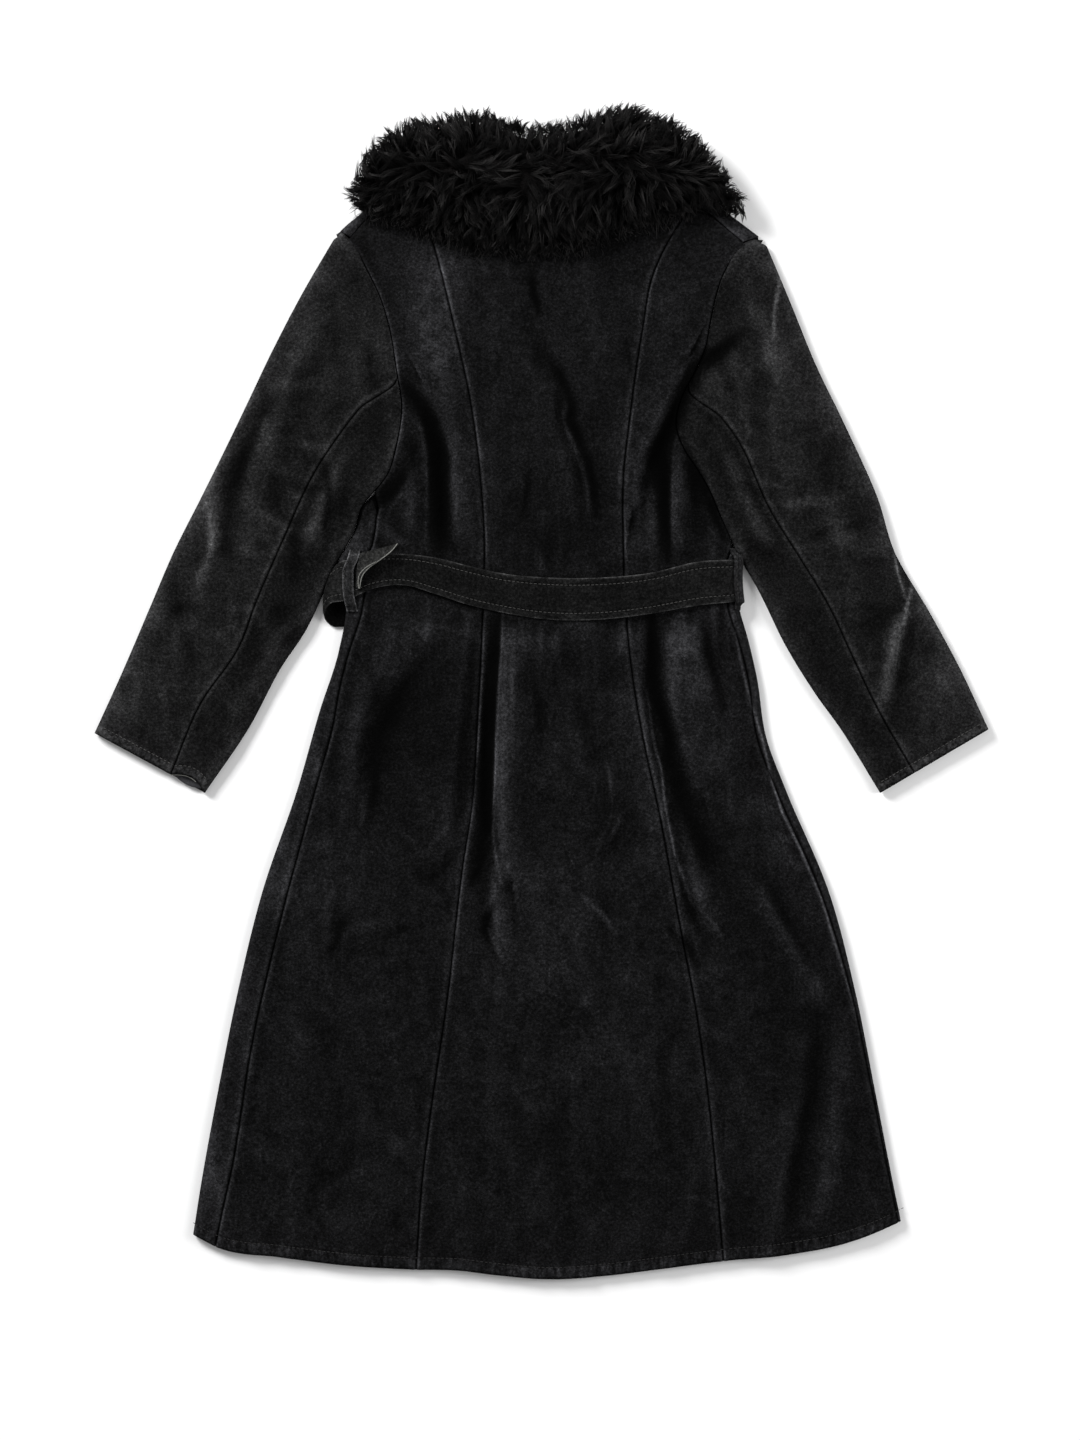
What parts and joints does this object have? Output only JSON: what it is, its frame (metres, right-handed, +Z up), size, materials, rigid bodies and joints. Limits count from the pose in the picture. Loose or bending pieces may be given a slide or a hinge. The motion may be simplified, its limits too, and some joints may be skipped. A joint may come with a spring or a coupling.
{
  "type": "long coat with a fur collar and belt, laid flat",
  "caption": "Long suede-look coat with a deep fur collar and a tie belt, laid flat on its front with its back up.",
  "frame": {"origin": "centre of the coat's outline, on the surface that it lies on", "axes": "+Y up the coat from hem to collar, +X across it to the wearer's right sleeve as the back is seen, +Z up"},
  "size_m": [0.94, 1.2318, 0.05],
  "materials": {
    "suede_body": "matte brushed nap",
    "suede_sleeve": "matte brushed nap",
    "suede_belt": "matte nap, topstitched",
    "fur": "long curly pile",
    "reverse": "pale matte flesh side",
    "lining": "smooth satin"
  },
  "bodies": {
    "root": {"back_centre": "suede_body", "back_side_left": "suede_body", "back_side_right": "suede_body", "front_left": "suede_body", "front_right": "suede_body", "sleeve_upper_left": "suede_sleeve", "sleeve_under_left": "suede_sleeve", "sleeve_upper_right": "suede_sleeve", "sleeve_under_right": "suede_sleeve", "cuff_lining_left": "lining", "collar": "fur", "belt": "suede_belt", "belt_turned_edge": "reverse", "belt_loop_left": "suede_belt", "belt_loop_right": "suede_belt"}
  },
  "joints": []
}
